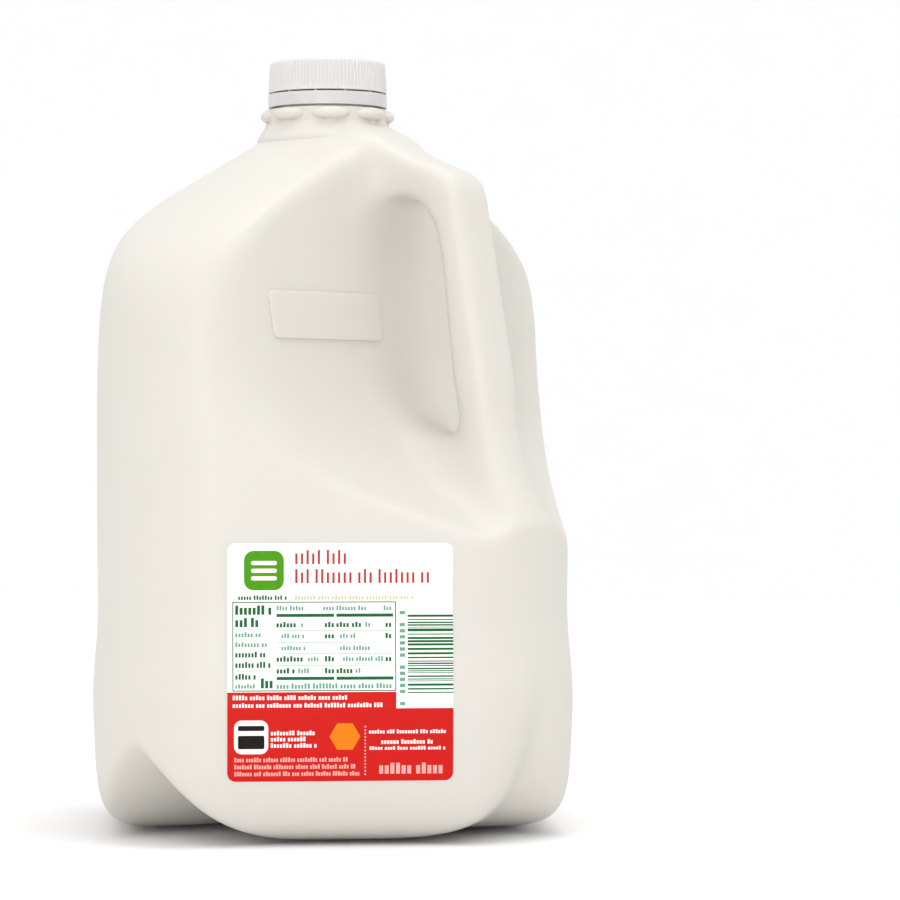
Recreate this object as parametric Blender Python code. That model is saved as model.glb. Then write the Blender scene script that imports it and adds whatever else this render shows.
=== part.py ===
"""Plastic milk jug with a moulded handle, screw cap, tamper band and printed label.

Metres, +Z up. The origin is the middle of the base, on the axis of the neck.
The finger gap runs along Y and the handle lies towards +X, so the four side
faces look along the diagonals and the jug mirrors across the XZ plane.

The bottle's blended body is a field: a signed distance built from named planes,
cones and prisms with Geometry Nodes, turned to a mesh where it is zero. The neck
is a turned profile joined on with a Boolean, and the cap is lofted rings.
"""
import math

import bmesh
import bpy

# Body: a rounded square prism that leans in towards the shoulder
HALF_WIDTH = 0.0760
CORNER_RADIUS = 0.0404
LEAN_START = 0.1359
LEAN_RATE = 0.93
BULGE = 0.0024
BULGE_LOW = 0.0384
BULGE_HIGH = 0.0788
HEEL_START = 0.0295
HEEL_TAPER = 0.09
HEEL_BLEND = 0.0290
HEEL_KNEE = 0.0100
BASE_TRIM = 0.0002

# Shoulder: a cone that runs from the neck to the walls
SHOULDER_APEX = 0.2390
SHOULDER_SLOPE = 0.605
SHOULDER_BLEND = 0.0250
BODY_TOP = 0.2275

# Valley up each lower corner, between the feet of two faces
VALLEY_FLOOR = 0.0455
VALLEY_RISE = 1.58
VALLEY_FLANK = 1.40
VALLEY_ROUND = 0.0040
VALLEY_BLEND = 0.0080
HANDLE_VALLEY_FLOOR = 0.0775
HANDLE_VALLEY_RISE = 0.33
HANDLE_VALLEY_FLANK = 0.55

# Hollow on the handle side: a gently convex floor and a ramp below it
FLOOR_X = 0.0315
FLOOR_LEVEL = 0.1601
FLOOR_LEAN = -0.06
FLOOR_BOW = 0.50
SIDE_TURN = math.radians(25.5)
SIDE_REACH = 0.0576
SIDE_BLEND = 0.0080
RAMP_HEIGHT = 0.1505
RAMP_ALONG_X = 0.606
RAMP_ALONG_Y = 0.118
RAMP_RIDGE = 0.0118
HOLLOW_BLEND = 0.038
CREST_BLEND = 0.0065

# Handle: a fin in the XZ plane with the finger gap cut through it
HANDLE_HALF = 0.0100
HANDLE_EDGE = 0.0087
LIP_EDGE = 0.0150
LIP_LOW = 0.1280
LIP_HIGH = 0.1500
HANDLE_TOP = 0.2350
HANDLE_TOP_SLOPE = 0.375
HANDLE_LEVEL = 0.1330
HANDLE_OUTER = 0.0771
HANDLE_LEAN = 0.192
HANDLE_FLARE = 6.1
HANDLE_BEND = 0.0080
HANDLE_BLEND = 0.0200
GAP_TOP = 0.2066
GAP_BOTTOM = 0.1255
GAP_BOTTOM_SLOPE = -0.35
GAP_INNER = 0.0577
GAP_INNER_LEAN = 0.122
GAP_LEVEL = 0.1620
GAP_TOP_BLEND = 0.0340
GAP_BOTTOM_BLEND = 0.0260

# Neck: turned, with a ring of lugs under the tamper band
NECK_RADIUS = 0.0197
NECK_FLARE_RADIUS = 0.0233
NECK_FLARE_LOW = 0.2260
NECK_FLARE_HIGH = 0.2317
NECK_ROOT = 0.2235
NECK_LEDGE = 0.2363
CORE_RADIUS = 0.0170
CORE_TOP = 0.2410
LUG_COUNT = 8
LUG_LENGTH = 0.0114
LUG_HEIGHT = 0.0039
LUG_REACH = 0.0022
LUG_LEVEL = 0.2334
LUG_BELLY = 0.6
LUG_BELLY_SIZE = 0.94
LUG_CREST_SIZE = 0.68
LUG_STEPS = 16

# Tamper band and cap
CLEARANCE = 0.0003
BAND_CHAMFER = 0.0003
BAND_RADIUS = 0.0197
BAND_BOTTOM = 0.2366
BAND_TOP = 0.2410
CAP_BOTTOM = 0.2414
CAP_TOP = 0.2517
CAP_RADIUS = 0.0197
CAP_TOP_RADIUS = 0.0191
CAP_ROUND = 0.0014
CAP_ROUND_TURNS = (math.radians(45.0), math.radians(90.0))
RIB_COUNT = 96
RIB_DEPTH = 0.00045

# Label, on the face that looks along (+X, -Y)
LABEL_WIDTH = 0.0703
LABEL_HEIGHT = 0.0740
LABEL_CENTRE = 0.0578
LABEL_CORNER = 0.0026
LABEL_THICKNESS = 0.0003
LABEL_GAP = 0.0006
LABEL_CELLS = 8
LABEL_CORNER_STEPS = 4

# Mesh fineness
CELL = 0.0022
BODY_TRIANGLES = 6600
TURN_STEPS = 48
FIELD_REACH = 0.010
BOTTLE_SHARP = math.radians(40.0)
CAP_SHARP = math.radians(25.0)
DIAGONAL = math.sqrt(0.5)


class Field:
    """A number at every point of space: one output socket of a node tree."""

    def __init__(self, tree, socket):
        self.tree = tree
        self.socket = socket

    def math(self, operation, *operands):
        """Return the result of a Math node fed with this field and the operands."""
        node = self.tree.nodes.new("ShaderNodeMath")
        node.operation = operation
        for slot, value in zip(node.inputs, (self, *operands)):
            if isinstance(value, Field):
                self.tree.links.new(value.socket, slot)
            else:
                slot.default_value = value
        return Field(self.tree, node.outputs[0])

    def __add__(self, other):
        return self.math("ADD", other)

    def __sub__(self, other):
        return self.math("SUBTRACT", other)

    def __mul__(self, factor):
        return self.math("MULTIPLY", factor)

    def __neg__(self):
        return self * -1.0

    def __abs__(self):
        return self.math("ABSOLUTE")

    def squared(self):
        return self * self

    def above(self, level):
        """Return how far this field is above a level, or nothing below it."""
        return (self - level).math("MAXIMUM", 0.0)

    def join(self, other, blend):
        """Union of two solids, with a rounded inner corner."""
        return self.math("SMOOTH_MIN", other, blend)

    def keep(self, other, blend):
        """Common part of two solids, with a rounded edge."""
        return self.math("SMOOTH_MAX", other, blend)


def hypotenuse(first, second):
    return (first.squared() + second.squared()).math("SQRT")


def softened(value, width):
    """Absolute value of a field with its crease rounded off."""
    return (value.squared() + width * width).math("SQRT")


def rising_step(tree, value, low, high):
    """Return 0 below low and 1 above high, with a smooth step between."""
    node = tree.nodes.new("ShaderNodeMapRange")
    node.interpolation_type = "SMOOTHERSTEP"
    tree.links.new(value.socket, node.inputs["Value"])
    node.inputs["From Min"].default_value = low
    node.inputs["From Max"].default_value = high
    return Field(tree, node.outputs["Result"])


def wall_form(tree, x, y, z):
    """Rounded square prism, leaning in above and bulging below."""
    half = -z.above(LEAN_START).squared() * LEAN_RATE + HALF_WIDTH
    half = half + (-rising_step(tree, z, BULGE_LOW, BULGE_HIGH) + 1.0) * BULGE
    across = abs(x + y) * DIAGONAL - half + CORNER_RADIUS
    along = abs(x - y) * DIAGONAL - half + CORNER_RADIUS
    outside = hypotenuse(across.math("MAXIMUM", 0.0), along.math("MAXIMUM", 0.0))
    wall = across.math("MAXIMUM", along).math("MINIMUM", 0.0) + outside - CORNER_RADIUS
    return wall.keep(wall + (-z + HEEL_START) * HEEL_TAPER, HEEL_KNEE)


def shoulder_form(x, y, z):
    """Cone under the neck, cut off flat inside it."""
    steepness = math.hypot(1.0, SHOULDER_SLOPE)
    cone = (z - SHOULDER_APEX + hypotenuse(x, y) * SHOULDER_SLOPE) * (1.0 / steepness)
    return cone.math("MAXIMUM", z - BODY_TOP)


def valley_form(tree, x, y, z):
    """Space outside the valley up each lower corner, wider and shallower by the handle."""
    width, depth = abs(x), abs(y)
    outward = width.math("MAXIMUM", depth)
    sideways = softened(width.math("MINIMUM", depth), VALLEY_ROUND) - VALLEY_ROUND
    by_handle = rising_step(tree, x, VALLEY_FLOOR / 2.0, VALLEY_FLOOR)
    start = by_handle * (HANDLE_VALLEY_FLOOR - VALLEY_FLOOR) + VALLEY_FLOOR
    rise = by_handle * (HANDLE_VALLEY_RISE - VALLEY_RISE) + VALLEY_RISE
    flank = by_handle * (HANDLE_VALLEY_FLANK - VALLEY_FLANK) + VALLEY_FLANK
    steepness = math.hypot(1.0, math.hypot(VALLEY_RISE, VALLEY_FLANK))
    valley = outward - start - z * rise - sideways * flank
    return valley * (1.0 / steepness)


def hollow_form(x, y, z):
    """Space outside the hollow beside the handle: floor, slanted sides and ramp."""
    floor = x - FLOOR_X + y.squared() * FLOOR_BOW - (z - FLOOR_LEVEL) * FLOOR_LEAN
    side = x * math.cos(SIDE_TURN) + abs(y) * math.sin(SIDE_TURN) - SIDE_REACH
    floor = floor.keep(side, SIDE_BLEND)
    steepness = math.hypot(1.0, math.hypot(RAMP_ALONG_X, RAMP_ALONG_Y))
    ramp = z - RAMP_HEIGHT + x * RAMP_ALONG_X + softened(y, RAMP_RIDGE) * RAMP_ALONG_Y
    return floor.join(ramp * (1.0 / steepness), HOLLOW_BLEND)


def handle_form(tree, x, y, z):
    """Fin in the XZ plane, with the finger gap cut through it and a softer lip under the gap."""
    steepness = math.hypot(1.0, HANDLE_TOP_SLOPE)
    top = (z - HANDLE_TOP + x * HANDLE_TOP_SLOPE) * (1.0 / steepness)
    flare = (-z).above(-HANDLE_LEVEL).squared() * HANDLE_FLARE
    outer = x - HANDLE_OUTER + (z - HANDLE_LEVEL) * HANDLE_LEAN - flare
    profile = top.keep(outer, HANDLE_BEND).math("MAXIMUM", -x)
    profile = profile.math("MAXIMUM", z - BODY_TOP)
    gap_side = x - GAP_INNER + (z - GAP_LEVEL) * GAP_INNER_LEAN
    bottom = -z + GAP_BOTTOM + (x - GAP_INNER) * GAP_BOTTOM_SLOPE
    bottom = bottom * (1.0 / math.hypot(1.0, GAP_BOTTOM_SLOPE))
    gap = gap_side.keep(z - GAP_TOP, GAP_TOP_BLEND).keep(bottom, GAP_BOTTOM_BLEND)
    above_lip = rising_step(tree, z, LIP_LOW, LIP_HIGH)
    edge = above_lip * (HANDLE_EDGE - LIP_EDGE) + LIP_EDGE
    return profile.keep(-gap, edge).keep(abs(y) - HANDLE_HALF, edge)


def body_form(tree):
    """Whole body: negative inside the plastic's outer surface, zero on it."""
    position = tree.nodes.new("GeometryNodeInputPosition")
    parts = tree.nodes.new("ShaderNodeSeparateXYZ")
    tree.links.new(position.outputs[0], parts.inputs[0])
    x, y, z = (Field(tree, socket) for socket in parts.outputs)
    walls = wall_form(tree, x, y, z).keep(valley_form(tree, x, y, z), VALLEY_BLEND)
    body = walls.keep(shoulder_form(x, y, z), SHOULDER_BLEND)
    body = body.keep(hollow_form(x, y, z), CREST_BLEND)
    handle = handle_form(tree, x, y, z).keep(walls, HANDLE_BEND)
    body = body.join(handle, HANDLE_BLEND).math("MAXIMUM", walls)
    return body.keep(-z - BASE_TRIM, HEEL_BLEND)


def body_tree():
    """Node tree that meshes the body where its field is zero."""
    tree = bpy.data.node_groups.new("body", "GeometryNodeTree")
    tree.interface.new_socket("Geometry", in_out="OUTPUT", socket_type="NodeSocketGeometry")
    volume = tree.nodes.new("GeometryNodeVolumeCube")
    density = -body_form(tree) * (1.0 / FIELD_REACH) + 1.0
    density = density.math("MAXIMUM", 0.0).math("MINIMUM", 2.0)
    tree.links.new(density.socket, volume.inputs["Density"])
    reach = HALF_WIDTH * math.sqrt(2.0)
    low = (-reach, -reach, -FIELD_REACH)
    high = (reach, reach, SHOULDER_APEX)
    volume.inputs["Min"].default_value = low
    volume.inputs["Max"].default_value = high
    for axis, start, end in zip("XYZ", low, high):
        volume.inputs["Resolution " + axis].default_value = round((end - start) / CELL)
    surface = tree.nodes.new("GeometryNodeVolumeToMesh")
    surface.inputs["Threshold"].default_value = 1.0
    tree.links.new(volume.outputs["Volume"], surface.inputs["Volume"])
    output = tree.nodes.new("NodeGroupOutput")
    tree.links.new(surface.outputs["Mesh"], output.inputs["Geometry"])
    return tree


def make_material(name, colour, roughness):
    material = bpy.data.materials.new(name)
    material.use_nodes = True
    shader = material.node_tree.nodes["Principled BSDF"]
    shader.inputs["Base Color"].default_value = (*colour, 1.0)
    shader.inputs["Roughness"].default_value = roughness
    shader.inputs["Metallic"].default_value = 0.0
    return material


def make_object(name, mesh, material=None):
    part = bpy.data.objects.new(name, mesh)
    bpy.context.collection.objects.link(part)
    if material:
        mesh.materials.append(material)
    return part


def mesh_from(build, name):
    """Mesh made by a function that fills an empty bmesh."""
    shape = bmesh.new()
    build(shape)
    bmesh.ops.recalc_face_normals(shape, faces=shape.faces)
    mesh = bpy.data.meshes.new(name)
    shape.to_mesh(mesh)
    shape.free()
    return mesh


def settle(part):
    """Replace an object's mesh with its evaluated one and drop the modifiers."""
    graph = bpy.context.evaluated_depsgraph_get()
    mesh = bpy.data.meshes.new_from_object(part.evaluated_get(graph), depsgraph=graph)
    part.modifiers.clear()
    part.data = mesh
    mesh.name = part.name


def ring_of(shape, points):
    """Closed loop of vertices and edges through the points."""
    loop = [shape.verts.new(point) for point in points]
    edges = [shape.edges.new(pair) for pair in zip(loop, loop[1:] + loop[:1])]
    return loop, edges


def loft(shape, rings):
    """Skin over rings of points, with the first and the last ring filled."""
    made = [ring_of(shape, ring) for ring in rings]
    for (_, lower), (_, upper) in zip(made, made[1:]):
        bmesh.ops.bridge_loops(shape, edges=lower + upper)
    for loop, _ in (made[0], made[-1]):
        shape.faces.new(loop)


def circle(radius, height, steps):
    turns = (2.0 * math.pi * step / steps for step in range(steps))
    return [(radius * math.cos(turn), radius * math.sin(turn), height) for turn in turns]


def build_neck(shape):
    """Turned neck: flare on the shoulder, ledge and the core inside the cap."""
    profile = (
        (NECK_FLARE_RADIUS, NECK_ROOT),
        (NECK_FLARE_RADIUS, NECK_FLARE_LOW),
        (NECK_RADIUS, NECK_FLARE_HIGH),
        (NECK_RADIUS, NECK_LEDGE),
        (CORE_RADIUS, NECK_LEDGE),
        (CORE_RADIUS, CORE_TOP),
    )
    loft(shape, [circle(radius, height, TURN_STEPS) for radius, height in profile])


def build_lug(shape):
    """One oval lug, standing out from the neck along +X."""
    rows = ((-LUG_REACH, 1.0), (LUG_REACH * LUG_BELLY, LUG_BELLY_SIZE),
            (LUG_REACH, LUG_CREST_SIZE))
    outline = circle(1.0, 0.0, LUG_STEPS)
    rings = []
    for reach, share in rows:
        rings.append([(NECK_RADIUS + reach, across * share * LUG_LENGTH / 2.0,
                       LUG_LEVEL + up * share * LUG_HEIGHT / 2.0)
                      for across, up, _ in outline])
    loft(shape, rings)


def trim_base(mesh):
    """Cut the mesh off dead flat at height zero."""
    shape = bmesh.new()
    shape.from_mesh(mesh)
    everything = shape.verts[:] + shape.edges[:] + shape.faces[:]
    bmesh.ops.bisect_plane(shape, geom=everything, plane_co=(0.0, 0.0, 0.0),
                           plane_no=(0.0, 0.0, 1.0), clear_inner=True)
    rim = [edge for edge in shape.edges if edge.is_boundary]
    bmesh.ops.contextual_create(shape, geom=rim)
    bmesh.ops.recalc_face_normals(shape, faces=shape.faces)
    shape.to_mesh(mesh)
    shape.free()


def add_union(part, other):
    union = part.modifiers.new("join " + other.name, "BOOLEAN")
    union.operation = "UNION"
    union.solver = "EXACT"
    union.object = other


def make_bottle(material):
    """Body, neck and lugs joined into one solid."""
    bottle = make_object("bottle", bpy.data.meshes.new("bottle"), material)
    form = bottle.modifiers.new("body", "NODES")
    form.node_group = body_tree()
    settle(bottle)
    thin = bottle.modifiers.new("thin", "DECIMATE")
    thin.ratio = BODY_TRIANGLES / (2.0 * len(bottle.data.polygons))
    settle(bottle)
    trim_base(bottle.data)
    pieces = [make_object("neck", mesh_from(build_neck, "neck"))]
    for index in range(LUG_COUNT):
        lug = make_object(f"lug_{index}", mesh_from(build_lug, "lug"))
        lug.rotation_euler.z = math.pi * (2.0 * index / LUG_COUNT)
        pieces.append(lug)
    bpy.context.view_layer.update()
    for piece in pieces:
        add_union(bottle, piece)
    settle(bottle)
    for piece in pieces:
        bpy.data.objects.remove(piece)
    bottle.data.materials.clear()
    bottle.data.materials.append(material)
    bottle.data.shade_smooth()
    bottle.data.set_sharp_from_angle(angle=BOTTLE_SHARP)
    return bottle


def build_band(shape):
    """Ring round the neck's core, with a small chamfer at its outer edges."""
    inner = CORE_RADIUS + CLEARANCE
    profile = (
        (inner, BAND_BOTTOM),
        (BAND_RADIUS - BAND_CHAMFER, BAND_BOTTOM),
        (BAND_RADIUS, BAND_BOTTOM + BAND_CHAMFER),
        (BAND_RADIUS, BAND_TOP - BAND_CHAMFER),
        (BAND_RADIUS - BAND_CHAMFER, BAND_TOP),
        (inner, BAND_TOP),
    )
    loop, edges = ring_of(shape, [(radius, 0.0, height) for radius, height in profile])
    bmesh.ops.spin(shape, geom=loop + edges, cent=(0.0, 0.0, 0.0), axis=(0.0, 0.0, 1.0),
                   angle=2.0 * math.pi, steps=TURN_STEPS, use_merge=True)


def build_cap(shape):
    """Solid cap with fine ribs round its side and a rounded top edge."""
    def ribbed(radius, height, depth):
        points = circle(1.0, height, 2 * RIB_COUNT)
        radii = (radius - depth * (index % 2) for index in range(len(points)))
        return [(x * size, y * size, z) for (x, y, z), size in zip(points, radii)]

    round_low = CAP_TOP - CAP_ROUND
    rings = [
        ribbed(CAP_RADIUS - RIB_DEPTH, CAP_BOTTOM, 0.0),
        ribbed(CAP_RADIUS, CAP_BOTTOM + RIB_DEPTH, RIB_DEPTH),
        ribbed(CAP_TOP_RADIUS, round_low, RIB_DEPTH),
    ]
    for angle in CAP_ROUND_TURNS:
        radius = CAP_TOP_RADIUS - RIB_DEPTH - CAP_ROUND * (1.0 - math.cos(angle))
        rings.append(circle(radius, round_low + CAP_ROUND * math.sin(angle), 2 * RIB_COUNT))
    loft(shape, rings)


def make_label(bottle, material):
    """Thin sheet with round corners, laid on the bottle and thickened outwards."""
    def build(shape):
        bmesh.ops.create_grid(shape, x_segments=LABEL_CELLS, y_segments=LABEL_CELLS, size=0.5)
        for vertex in shape.verts:
            vertex.co.x *= LABEL_WIDTH
            vertex.co.y *= LABEL_HEIGHT
        corners = [v for v in shape.verts if len(v.link_edges) == 2]
        bmesh.ops.bevel(shape, geom=corners, offset=LABEL_CORNER, segments=LABEL_CORNER_STEPS,
                        profile=0.5, affect="VERTICES")

    label = make_object("label", mesh_from(build, "label"), material)
    label.rotation_euler = (math.pi / 2.0, 0.0, math.pi / 4.0)
    face = HALF_WIDTH + FIELD_REACH
    label.location = (face * DIAGONAL, -face * DIAGONAL, LABEL_CENTRE)
    lay = label.modifiers.new("lay on", "SHRINKWRAP")
    lay.target = bottle
    lay.wrap_method = "PROJECT"
    lay.use_project_z = True
    lay.use_positive_direction = False
    lay.use_negative_direction = True
    lay.offset = LABEL_GAP
    thick = label.modifiers.new("thickness", "SOLIDIFY")
    thick.thickness = LABEL_THICKNESS
    thick.offset = 1.0
    return label


def main():
    for item in list(bpy.data.objects):
        bpy.data.objects.remove(item)
    plastic = make_material("milk_white_plastic", (0.80, 0.78, 0.73), 0.42)
    cap_white = make_material("cap_white_plastic", (0.80, 0.80, 0.80), 0.45)
    band_white = make_material("band_white_plastic", (0.78, 0.79, 0.79), 0.40)
    print_red = make_material("label_print", (0.72, 0.02, 0.01), 0.45)
    bottle = make_bottle(plastic)
    make_label(bottle, print_red)
    make_object("tamper_band", mesh_from(build_band, "tamper_band"), band_white)
    cap = make_object("cap", mesh_from(build_cap, "cap"), cap_white)
    cap.data.shade_smooth()
    cap.data.set_sharp_from_angle(angle=CAP_SHARP)


main()
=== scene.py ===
"""Dressed view of a plastic milk jug: blown bottle, screw cap, tamper band, printed label.

Metres, +Z up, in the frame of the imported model: the neck's axis is the Z axis, the
handle lies towards +X and the label is on the face that looks along (+X, -Y).
"""

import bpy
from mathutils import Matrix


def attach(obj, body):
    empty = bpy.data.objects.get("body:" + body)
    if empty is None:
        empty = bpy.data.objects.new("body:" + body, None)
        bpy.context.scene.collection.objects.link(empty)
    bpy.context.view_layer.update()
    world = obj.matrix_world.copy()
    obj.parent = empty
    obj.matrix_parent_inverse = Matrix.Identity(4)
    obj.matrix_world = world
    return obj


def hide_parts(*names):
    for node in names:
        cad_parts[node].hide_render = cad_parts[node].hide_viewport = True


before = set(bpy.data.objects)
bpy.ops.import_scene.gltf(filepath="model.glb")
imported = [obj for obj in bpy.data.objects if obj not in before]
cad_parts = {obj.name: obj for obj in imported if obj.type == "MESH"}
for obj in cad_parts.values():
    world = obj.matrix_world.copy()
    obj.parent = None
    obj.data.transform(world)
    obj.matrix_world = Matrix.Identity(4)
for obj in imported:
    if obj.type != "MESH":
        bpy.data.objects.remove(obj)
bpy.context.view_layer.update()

import logging
import math
import random
from dataclasses import dataclass, field, fields
from enum import Enum
from types import SimpleNamespace
from typing import Callable, Iterable, Sequence

import bmesh
import bpy
from mathutils import Vector

LOG = logging.getLogger("milk_jug")
MM = 0.001
BODY = "root"
DIAGONAL = math.sqrt(0.5)
FACE_OUT = Vector((DIAGONAL, -DIAGONAL, 0.0))
FACE_ACROSS = Vector((DIAGONAL, DIAGONAL, 0.0))
# Steps of an arc on a rounded corner, and how near a cut may pass a point without a new one
CORNER_STEPS = 6
CUT_WELD = 1e-7


# Node helpers


def add_node(tree: bpy.types.NodeTree, kind: str, inputs: dict | None = None,
             **settings) -> bpy.types.Node:
    """Add one node with its settings, and give or link its inputs.

    Args:
        tree: The tree that gets the node.
        kind: Blender's type name of the node.
        inputs: Values or output sockets by input name or index.
        settings: Attributes of the node.

    Returns:
        The new node.
    """
    node = tree.nodes.new(kind)
    for name, value in settings.items():
        setattr(node, name, value)
    for key, value in (inputs or {}).items():
        if isinstance(value, Field):
            value = value.socket
        if isinstance(value, bpy.types.NodeSocket):
            tree.links.new(value, node.inputs[key])
        else:
            node.inputs[key].default_value = value
    return node


class Field:
    """A number at every point of space: one output socket of a node tree."""

    def __init__(self, tree: bpy.types.NodeTree, socket: bpy.types.NodeSocket) -> None:
        """Wrap a socket of a tree."""
        self.tree = tree
        self.socket = socket

    def math(self, operation: str, *operands: "Field | float") -> "Field":
        """Return the result of a Math node fed with this field and the operands."""
        values = dict(enumerate((self, *operands)))
        node = add_node(self.tree, "ShaderNodeMath", values, operation=operation)
        return Field(self.tree, node.outputs[0])

    def __add__(self, other: "Field | float") -> "Field":
        """Sum."""
        return self.math("ADD", other)

    def __sub__(self, other: "Field | float") -> "Field":
        """Difference."""
        return self.math("SUBTRACT", other)

    def __mul__(self, other: "Field | float") -> "Field":
        """Product."""
        return self.math("MULTIPLY", other)

    def __truediv__(self, other: "Field | float") -> "Field":
        """Quotient."""
        return self.math("DIVIDE", other)

    def __neg__(self) -> "Field":
        """Opposite number."""
        return self.math("MULTIPLY", -1.0)

    def __abs__(self) -> "Field":
        """Number without its sign."""
        return self.math("ABSOLUTE")

    def squared(self) -> "Field":
        """Square."""
        return self * self

    def root(self) -> "Field":
        """Square root."""
        return self.math("SQRT")

    def above(self, level: "Field | float") -> "Field":
        """How far this field is above a level, or nothing below it."""
        return (self - level).math("MAXIMUM", 0.0)

    def join(self, other: "Field", blend: "Field | float") -> "Field":
        """Union of two solids, with a rounded inner corner."""
        return self.math("SMOOTH_MIN", other, blend)

    def keep(self, other: "Field", blend: "Field | float") -> "Field":
        """Common part of two solids, with a rounded edge."""
        return self.math("SMOOTH_MAX", other, blend)

    def step(self, low: "Field | float", high: "Field | float") -> "Field":
        """0 below low and 1 above high, with a smooth step between."""
        node = add_node(self.tree, "ShaderNodeMapRange",
                        {"Value": self, "From Min": low, "From Max": high},
                        interpolation_type="SMOOTHERSTEP")
        return Field(self.tree, node.outputs["Result"])


def hypotenuse(first: Field, second: "Field | float") -> Field:
    """Length of the vector whose parts are the two numbers."""
    square = second.squared() if isinstance(second, Field) else second * second
    return (first.squared() + square).root()


def position_fields(tree: bpy.types.NodeTree) -> list[Field]:
    """The x, y and z of the point that a geometry tree is evaluated at."""
    place = add_node(tree, "GeometryNodeInputPosition")
    parts = add_node(tree, "ShaderNodeSeparateXYZ", {0: place.outputs[0]})
    return [Field(tree, socket) for socket in parts.outputs]


def widened(tree: bpy.types.NodeTree, source: bpy.types.Node, x: Field, y: Field, z: Field,
            share: Field) -> bpy.types.NodeSocket:
    """Add nodes that scale the tree's geometry about the Z axis by a share at each point."""
    spot = add_node(tree, "ShaderNodeCombineXYZ", {0: x * share, 1: y * share, 2: z})
    moved = add_node(tree, "GeometryNodeSetPosition",
                     {"Geometry": source.outputs["Geometry"], "Position": spot.outputs[0]})
    return moved.outputs[0]


def label_of(name: str) -> str:
    """The readable name of a tree's input for a dataclass field."""
    return name.replace("_", " ").title()


def new_tree(name: str, sizes: object, extra: Sequence[tuple[str, str]] = ()) -> tuple:
    """Start a Geometry Nodes tree with a named input for each size.

    Args:
        name: Name of the tree.
        sizes: Dataclass whose number fields become inputs.
        extra: Further inputs, as pairs of name and socket type.

    Returns:
        The tree, its input node, and the sizes as fields in a namespace.
    """
    tree = bpy.data.node_groups.new(name, "GeometryNodeTree")
    tree.interface.new_socket("Geometry", in_out="OUTPUT", socket_type="NodeSocketGeometry")
    tree.interface.new_socket("Geometry", in_out="INPUT", socket_type="NodeSocketGeometry")
    numbers = [item.name for item in fields(sizes) if isinstance(getattr(sizes, item.name), float)]
    for item in numbers:
        tree.interface.new_socket(label_of(item), in_out="INPUT", socket_type="NodeSocketFloat")
    for item, kind in (*extra, ("Material", "NodeSocketMaterial")):
        tree.interface.new_socket(item, in_out="INPUT", socket_type=kind)
    source = add_node(tree, "NodeGroupInput")
    named = {item: Field(tree, source.outputs[label_of(item)]) for item in numbers}
    return tree, source, SimpleNamespace(**named)


def end_tree(tree: bpy.types.NodeTree, source: bpy.types.Node,
             geometry: bpy.types.NodeSocket) -> None:
    """Close a tree with Realize Instances, Set Material and the output."""
    real = add_node(tree, "GeometryNodeRealizeInstances", {"Geometry": geometry})
    dressed = add_node(tree, "GeometryNodeSetMaterial",
                       {"Geometry": real.outputs[0], "Material": source.outputs["Material"]})
    add_node(tree, "NodeGroupOutput", {"Geometry": dressed.outputs[0]})


def run_tree(tree: bpy.types.NodeTree, base: bpy.types.Mesh, sizes: object,
             **others: object) -> bpy.types.Mesh:
    """Evaluate a tree once and return its result as a plain mesh.

    Args:
        tree: Geometry Nodes tree.
        base: Mesh that the tree starts from.
        sizes: Dataclass whose number fields fill the named inputs.
        others: Further values by input name, with _ for a space.

    Returns:
        The evaluated mesh, free of modifiers.
    """
    values = {label_of(item.name): getattr(sizes, item.name) for item in fields(sizes)}
    values.update({label_of(key): value for key, value in others.items()})
    holder = new_object(tree.name, base)
    modifier = holder.modifiers.new(tree.name, "NODES")
    modifier.node_group = tree
    for item in tree.interface.items_tree:
        if item.in_out == "INPUT" and item.name in values:
            modifier[item.identifier] = values[item.name]
    graph = bpy.context.evaluated_depsgraph_get()
    mesh = bpy.data.meshes.new_from_object(holder.evaluated_get(graph), depsgraph=graph)
    bpy.data.objects.remove(holder)
    return mesh


# Mesh helpers


def new_object(name: str, data: bpy.types.ID) -> bpy.types.Object:
    """Make an object of a mesh, light or camera and link it to the scene."""
    made = bpy.data.objects.new(name, data)
    bpy.context.collection.objects.link(made)
    return made


def mesh_from(name: str, build: Callable[[bmesh.types.BMesh], None]) -> bpy.types.Mesh:
    """Make a mesh with a function that fills an empty bmesh, faces turned outwards."""
    shape = bmesh.new()
    build(shape)
    bmesh.ops.recalc_face_normals(shape, faces=shape.faces)
    mesh = bpy.data.meshes.new(name)
    shape.to_mesh(mesh)
    shape.free()
    return mesh


def add_piece(name: str, mesh: bpy.types.Mesh, material: bpy.types.Material, node: str,
              sharp: float | None = None) -> bpy.types.Object:
    """Turn a mesh into a finished piece that rides on the jug.

    Args:
        name: Name of the piece.
        mesh: Its mesh, in place.
        material: Its finish.
        node: CAD node that it stands for.
        sharp: Angle in degrees past which an edge stays sharp, or None for flat faces.

    Returns:
        The object.
    """
    mesh.name = name
    mesh.materials.clear()
    mesh.materials.append(material)
    piece = new_object(name, mesh)
    if sharp is not None:
        mesh.shade_smooth()
        mesh.set_sharp_from_angle(angle=math.radians(sharp))
    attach(piece, BODY)
    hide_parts(node)
    LOG.info("made %s: %d faces", name, len(mesh.polygons))
    return piece


def skin(shape: bmesh.types.BMesh, rings: Sequence[Sequence[tuple]]) -> None:
    """Skin over closed rings of points that have the same count, and close both ends."""
    made = [[shape.verts.new(point) for point in ring] for ring in rings]
    for lower, upper in zip(made, made[1:]):
        for first, after in zip(range(-1, len(lower) - 1), range(len(lower))):
            shape.faces.new((lower[first], lower[after], upper[after], upper[first]))
    shape.faces.new(made[0])
    shape.faces.new(made[-1])


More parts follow.
